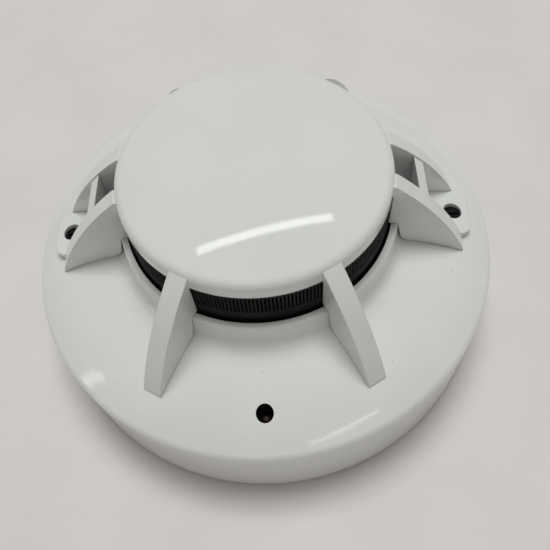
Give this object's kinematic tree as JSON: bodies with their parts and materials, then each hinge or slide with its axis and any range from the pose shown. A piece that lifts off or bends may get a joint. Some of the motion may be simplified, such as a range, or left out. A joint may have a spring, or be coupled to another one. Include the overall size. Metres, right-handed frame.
{
  "type": "ceiling smoke and heat detector",
  "caption": "Round ceiling detector: domed head with a finned, capped smoke chamber behind a slotted screen, an indicator lamp, and a twist-lock base with screw terminals.",
  "frame": {"origin": "centre of the base's back face, which lies on the ceiling", "axes": "+Z points away from the ceiling into the room; -Y is the indicator lamp's side; the vent cap's two screw ears lie on X"},
  "size_m": [0.1, 0.1, 0.0478],
  "materials": {
    "cover_white": "glossy white ABS moulding",
    "cap_white": "glossy white ABS moulding",
    "base_white": "satin white ABS moulding",
    "housing_white": "satin white ABS moulding",
    "chamber_black": "matt black moulding that swallows stray light",
    "screen_black": "matt black moulding",
    "board_green": "solder-masked glass-fibre laminate",
    "package_black": "moulded epoxy package",
    "chip_tan": "ceramic body",
    "can_metal": "sleeved aluminium can",
    "lens_dark": "dark infrared-pass epoxy",
    "lens_clear": "water-clear epoxy",
    "lamp_red": "red diffused epoxy",
    "tinned": "tin-plated steel",
    "screw_black": "blackened steel",
    "spring_brass": "nickel-washed phosphor bronze",
    "screw_zinc": "zinc-plated steel",
    "bead_grey": "epoxy-dipped thermistor bead",
    "foam": "closed-cell foam"
  },
  "bodies": {
    "base": {"mounting_base": "base_white", "contact_springs": "spring_brass", "terminal_washers": "screw_zinc", "terminal_screws": "screw_zinc"},
    "head": {"outer_cover": "cover_white", "vent_cap": "cap_white", "rear_housing": "housing_white", "insect_screen": "screen_black", "chamber_base": "chamber_black", "labyrinth": "chamber_black", "chamber_gasket": "foam", "ir_emitter": "lens_clear", "photodiode": "lens_dark", "photodiode_shield": "tinned", "thermistor": "bead_grey", "led_holder": "chamber_black", "alarm_led": "lamp_red", "circuit_board": "board_green", "microcontroller": "package_black", "capacitors": "can_metal", "chip_components": "chip_tan", "board_screws": "screw_zinc", "housing_screws": "screw_zinc", "cap_screws": "screw_black", "contact_blades": "spring_brass"}
  },
  "joints": [
    {"name": "head_twist", "type": "hinge", "parent": "base", "child": "head", "pos_m": [0, 0, 0], "axis": [0, 0, 1], "range_deg": [0, 18]}
  ]
}
